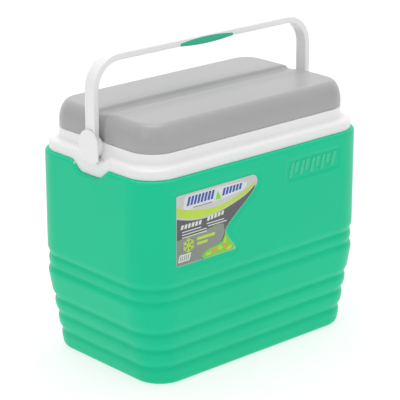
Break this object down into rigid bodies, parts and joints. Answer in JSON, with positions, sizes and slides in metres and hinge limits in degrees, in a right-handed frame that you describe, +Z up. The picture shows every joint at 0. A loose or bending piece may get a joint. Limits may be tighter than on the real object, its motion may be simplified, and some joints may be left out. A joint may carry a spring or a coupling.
{
  "type": "picnic cooler",
  "caption": "Hard insulated picnic cooler: ribbed tub, moulded rim, lift-off lid and a swinging bail handle with a soft grip.",
  "frame": {"origin": "centre of the base, on the surface that the cooler stands on", "axes": "+X along the long side to the right, +Y from front to back, +Z up"},
  "size_m": [0.34, 0.2056, 0.364],
  "materials": {
    "green_shell": "satin",
    "white_plastic": "satin",
    "lid_grey": "satin",
    "grip_rubber": "matte",
    "label_film": "gloss",
    "gasket_rubber": "matte",
    "bush_plastic": "satin",
    "pin_steel": "satin",
    "foam": "matte"
  },
  "bodies": {
    "chest": {"outer_shell": "green_shell", "body_insulation": "foam", "inner_liner": "white_plastic", "rim_collar": "white_plastic", "left_pivot_cover": "white_plastic", "right_pivot_cover": "white_plastic", "left_pivot_pin": "pin_steel", "right_pivot_pin": "pin_steel", "front_label": "label_film", "base_fill_plug": "green_shell"},
    "handle": {"bail_bar": "white_plastic", "left_bail_arm": "white_plastic", "right_bail_arm": "white_plastic", "grip_insert": "grip_rubber", "left_pivot_bush": "bush_plastic", "right_pivot_bush": "bush_plastic"},
    "lid": {"lid_cover": "lid_grey", "lid_insulation": "foam", "lid_pan": "white_plastic", "lid_gasket": "gasket_rubber", "lid_fill_plug": "white_plastic"}
  },
  "joints": [
    {"name": "handle_swing", "type": "hinge", "parent": "chest", "child": "handle", "pos_m": [0, 0, 0.2635], "axis": [1, 0, 0], "range_deg": [-89.4, 89.4]},
    {"name": "lid_lift", "type": "slide", "parent": "chest", "child": "lid", "axis": [0, 0, 1], "range_m": [0, 0.045]}
  ]
}
